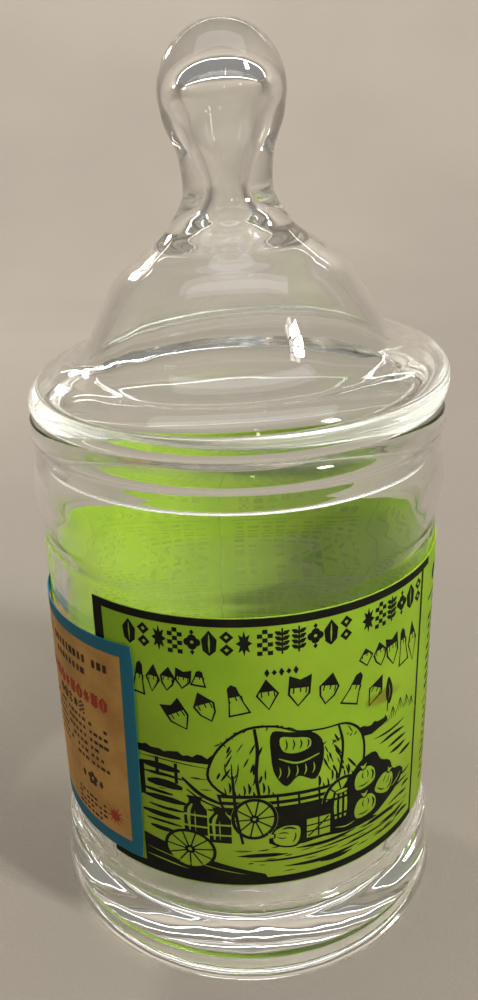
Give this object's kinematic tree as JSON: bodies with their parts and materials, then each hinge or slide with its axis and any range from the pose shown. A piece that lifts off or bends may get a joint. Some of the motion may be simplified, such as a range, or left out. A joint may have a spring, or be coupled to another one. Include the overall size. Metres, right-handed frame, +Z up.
{
  "type": "apothecary jar",
  "caption": "Round clear glass apothecary jar with a heavy foot, paper labels, and a lift-off blown lid whose plug drops inside the mouth.",
  "frame": {"origin": "centre of the foot's rest face, on the surface the jar stands on", "axes": "+Z up along the jar's axis, -Y out of the front of the wrap label, +X to the right of it"},
  "size_m": [0.1054, 0.1054, 0.2207],
  "materials": {
    "clear_glass": "clear polished soda-lime glass",
    "green_paper": "semi-matt lime green printed paper",
    "tan_paper": "matt aged tan printed paper"
  },
  "bodies": {
    "jar": {"jar_body": "clear_glass", "wrap_label": "green_paper", "side_label": "tan_paper"},
    "lid": {"lid": "clear_glass"}
  },
  "joints": [
    {"name": "lid_lift", "type": "slide", "parent": "jar", "child": "lid", "axis": [0, 0, 1], "range_m": [0, 0.06]}
  ]
}
